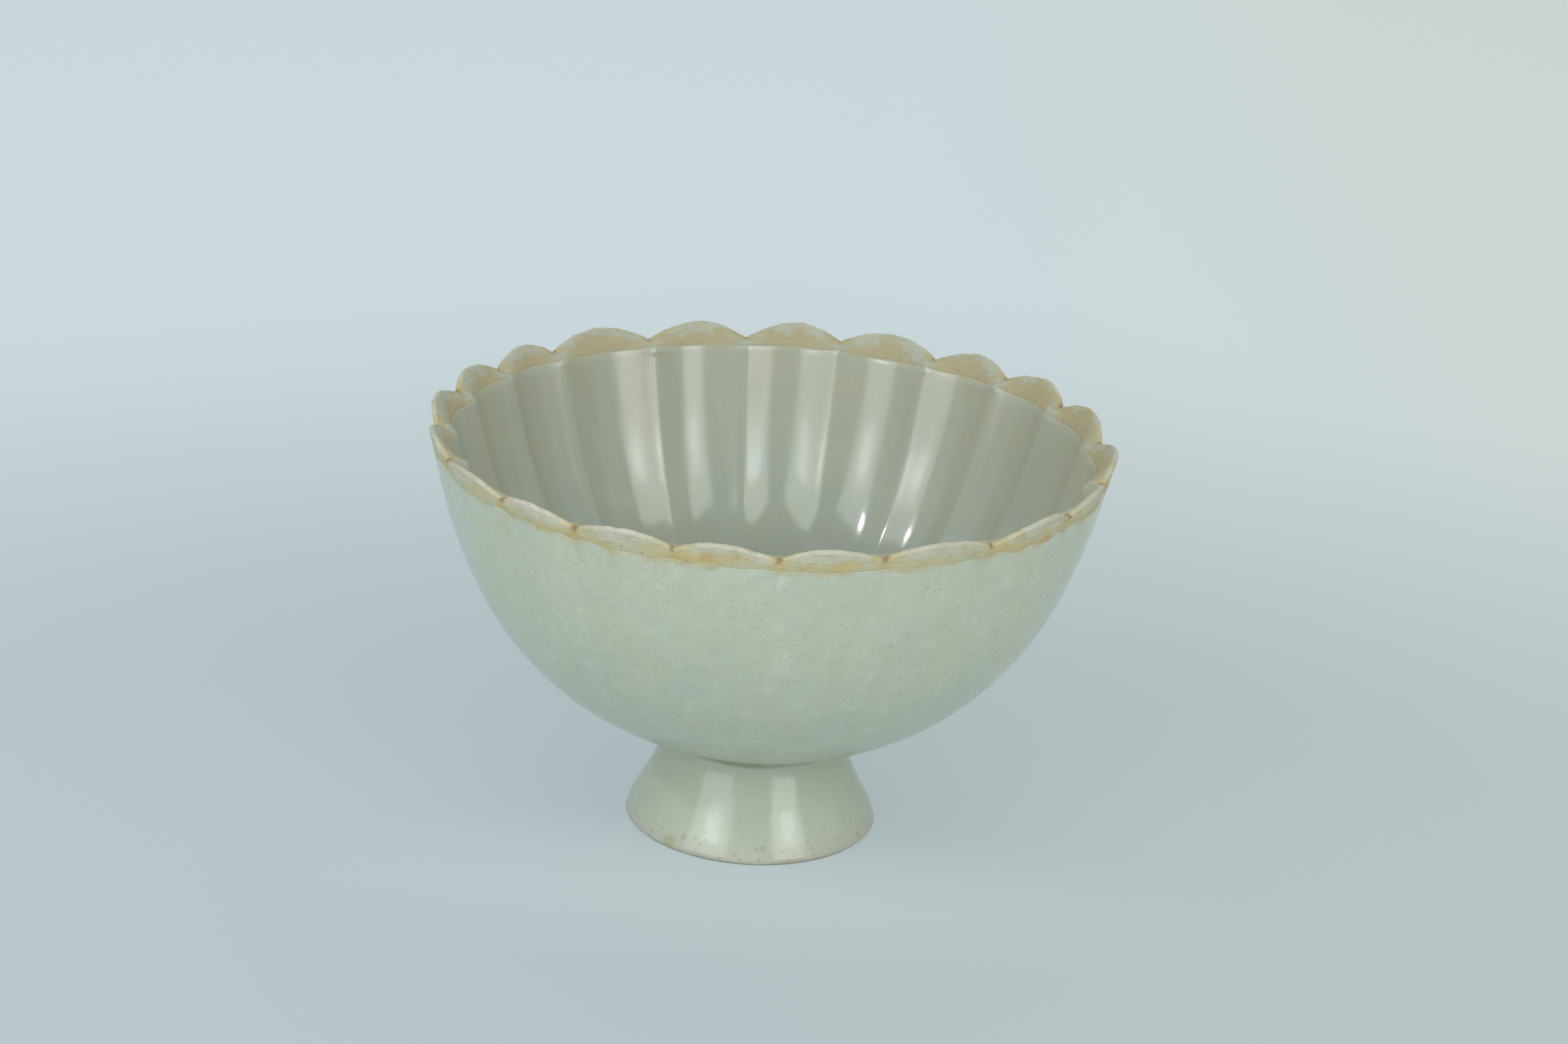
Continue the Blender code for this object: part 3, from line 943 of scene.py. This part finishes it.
def floorFinish():
    paper = Finish("paleFloor", studio)
    spot = paper.add("SeparateXYZ", None, Vector=paper.where)
    x, y = spot.outputs["X"], spot.outputs["Y"]
    # painted light and shade: the floor turns lighter towards the back and away from the bowl on either side,
    # for the lit backdrop and the bowl's broad soft shadow
    aside = paper.times(paper.maths("ABSOLUTE", x, 0.0), 0.45)
    far = paper.between(paper.plus(y, aside), 0.115, 0.50)
    rear = paper.paint(paper.shade("floorSeenBack"), "floorSeenBackRight", paper.between(x, 0.0, 0.3))
    paper.feed(paper.shader.inputs["Base Color"], paper.over(paper.shade("floor"), rear, far))
    paper.shader.inputs["Roughness"].default_value = studio["floorRoughness"]
    paper.shader.inputs["Specular IOR Level"].default_value = studio["floorGloss"]
    # painted shade: the floor seen on the right is darker and warmer, where the bowl's shadow falls
    seen = paper.paint(paper.shade("floorSeenLeft"), "floorSeenRight", paper.between(x, -0.15, 0.15))
    paintedLightOval = paper.add("Mapping", {"vector_type": "POINT"}, Vector=paper.where)  # a painted pool of light in a wide oval before the foot
    paintedLightOval.inputs["Location"].default_value = (0.0, 0.042, 0.0)
    paintedLightOval.inputs["Scale"].default_value = (0.35, 1.0, 1.0)
    paintedLightOval = paper.add("VectorMath", {"operation": "LENGTH"}, Vector=paintedLightOval.outputs["Vector"]).outputs["Value"]
    seen = paper.paint(seen, "paintedLightBeforeFoot", paper.between(paintedLightOval, 0.004, 0.045, 0.6, 0.0))
    shown = paper.add("Emission", None, Color=paper.over(seen, rear, far))
    path = paper.add("LightPath").outputs
    mirrored = paper.larger(path["Is Glossy Ray"], path["Is Transmission Ray"])
    looking = paper.larger(path["Is Camera Ray"], mirrored)
    mix = paper.add("MixShader")
    paper.feed(mix.inputs[0], paper.times(looking, studio["floorLift"]))
    paper.feed(mix.inputs[1], paper.shader.outputs[0])
    paper.feed(mix.inputs[2], shown.outputs[0])
    paper.feed(paper.tree.nodes["Material Output"].inputs["Surface"], mix.outputs[0])
    return paper.material


def makeFloor():
    bm = bmesh.new()
    bmesh.ops.create_circle(bm, cap_ends=True, segments=96, radius=studio["floorSize"])
    mesh = bpy.data.meshes.new("floor")
    bm.to_mesh(mesh)
    bm.free()
    mesh.materials.append(floorFinish())
    floor = bpy.data.objects.new("floor", mesh)
    bpy.context.scene.collection.objects.link(floor)


def makePanel(name, right, elevation, distance, wide, tall, watts, colour):
    a, e = math.radians(right), math.radians(elevation)
    away = Vector((math.sin(a) * math.cos(e), -math.cos(a) * math.cos(e), math.sin(e)))
    data = bpy.data.lights.new(name, "AREA")
    data.shape = "RECTANGLE"
    data.size, data.size_y, data.energy = wide, tall, watts
    data.color = studio[colour]
    lamp = bpy.data.objects.new(name, data)
    lamp.location = Vector(studio["aim"]) + distance * away
    lamp.rotation_euler = away.to_track_quat("Z", "Y").to_euler()
    bpy.context.scene.collection.objects.link(lamp)


# soft fill from the front, and a plain pale air for camera and reflections
def makeWorld():
    world = bpy.data.worlds.new("studioAir")
    world.use_nodes = True
    nodes, links = world.node_tree.nodes, world.node_tree.links
    shown = nodes["Background"]
    shown.inputs["Color"].default_value = tint(*studio["world"])
    fill = nodes.new("ShaderNodeBackground")
    fill.inputs["Color"].default_value = (1.0, 1.0, 1.0, 1.0)
    facing = nodes.new("ShaderNodeVectorMath")
    facing.operation = "DOT_PRODUCT"
    facing.inputs[1].default_value = studio["fillFrom"]
    links.new(nodes.new("ShaderNodeTexCoord").outputs["Generated"], facing.inputs[0])
    level = nodes.new("ShaderNodeMapRange")
    level.interpolation_type = "SMOOTHSTEP"
    level.inputs["To Min"].default_value = studio["fillBack"]
    level.inputs["To Max"].default_value = studio["fillFront"]
    links.new(facing.outputs["Value"], level.inputs["Value"])
    links.new(level.outputs["Result"], fill.inputs["Strength"])
    path, mix = nodes.new("ShaderNodeLightPath"), nodes.new("ShaderNodeMixShader")
    seen = path.outputs["Is Camera Ray"]
    for ray in ("Is Glossy Ray", "Is Transmission Ray"):
        either = nodes.new("ShaderNodeMath")
        either.operation = "MAXIMUM"
        links.new(seen, either.inputs[0])
        links.new(path.outputs[ray], either.inputs[1])
        seen = either.outputs[0]
    links.new(seen, mix.inputs[0])
    links.new(fill.outputs[0], mix.inputs[1])
    links.new(shown.outputs[0], mix.inputs[2])
    links.new(mix.outputs[0], nodes["World Output"].inputs["Surface"])
    bpy.context.scene.world = world


makeFloor()
for panel in studio["panels"]:
    makePanel(*panel)
makeWorld()
print("studio lit by", len(studio["panels"]), "lamps")

shot = {
    "place": (0.0, -0.7622, 0.3581),
    "turn": 0.0050,  # radians
    "down": 0.3564,
    "roll": 0.0628,
    "lens": 80.48,  # mm
    "sensor": 36.0,  # mm wide
}


def makeCamera():
    turn, down, roll = shot["turn"], shot["down"], shot["roll"]
    ahead = Vector((math.sin(turn) * math.cos(down), math.cos(turn) * math.cos(down), -math.sin(down)))
    level = Vector((math.cos(turn), -math.sin(turn), 0.0))
    upright = level.cross(ahead)
    right = math.cos(roll) * level + math.sin(roll) * upright
    up = math.cos(roll) * upright - math.sin(roll) * level
    data = bpy.data.cameras.new("shot")
    data.sensor_fit = "HORIZONTAL"
    data.sensor_width = shot["sensor"]
    data.lens = shot["lens"]
    data.clip_start = 0.01
    camera = bpy.data.objects.new("shot", data)
    turned = Matrix((right, up, -ahead)).transposed().to_4x4()
    camera.matrix_world = Matrix.Translation(shot["place"]) @ turned
    bpy.context.scene.collection.objects.link(camera)
    bpy.context.scene.camera = camera


makeCamera()
bpy.context.scene.view_settings.view_transform = "Standard"
print("camera set")
